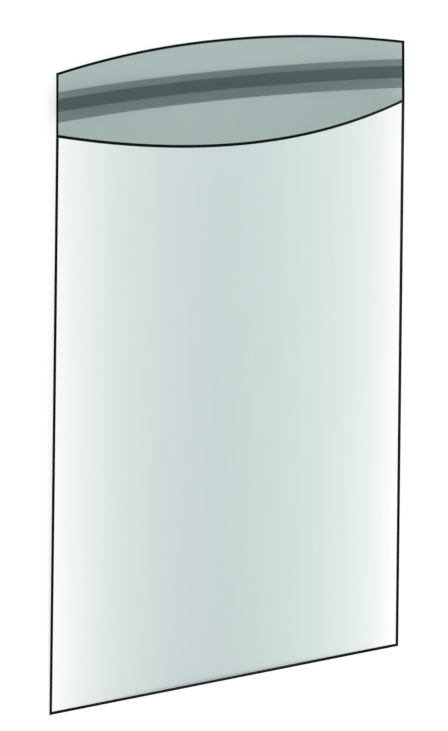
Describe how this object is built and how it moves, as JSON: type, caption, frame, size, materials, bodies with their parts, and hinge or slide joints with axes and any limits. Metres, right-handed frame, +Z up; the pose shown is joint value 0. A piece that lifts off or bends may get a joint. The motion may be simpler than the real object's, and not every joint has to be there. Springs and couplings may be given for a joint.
{
  "type": "self-seal film bag",
  "caption": "Clear self-seal film bag lying on its back panel, mouth bowed open, with an adhesive band under a release liner across the flap.",
  "frame": {"origin": "centre of the bottom of the bounding box, on the surface that the bag lies on", "axes": "+X across the bag, -Y towards its mouth and flap, +Z up"},
  "size_m": [0.195, 0.3412, 0.0514],
  "materials": {
    "film_clear": "glossy clear film",
    "adhesive_grey": "tacky, satin",
    "liner_grey": "satin"
  },
  "bodies": {
    "root": {"bag_film": "film_clear", "adhesive_strip": "adhesive_grey", "release_liner": "liner_grey"}
  },
  "joints": []
}
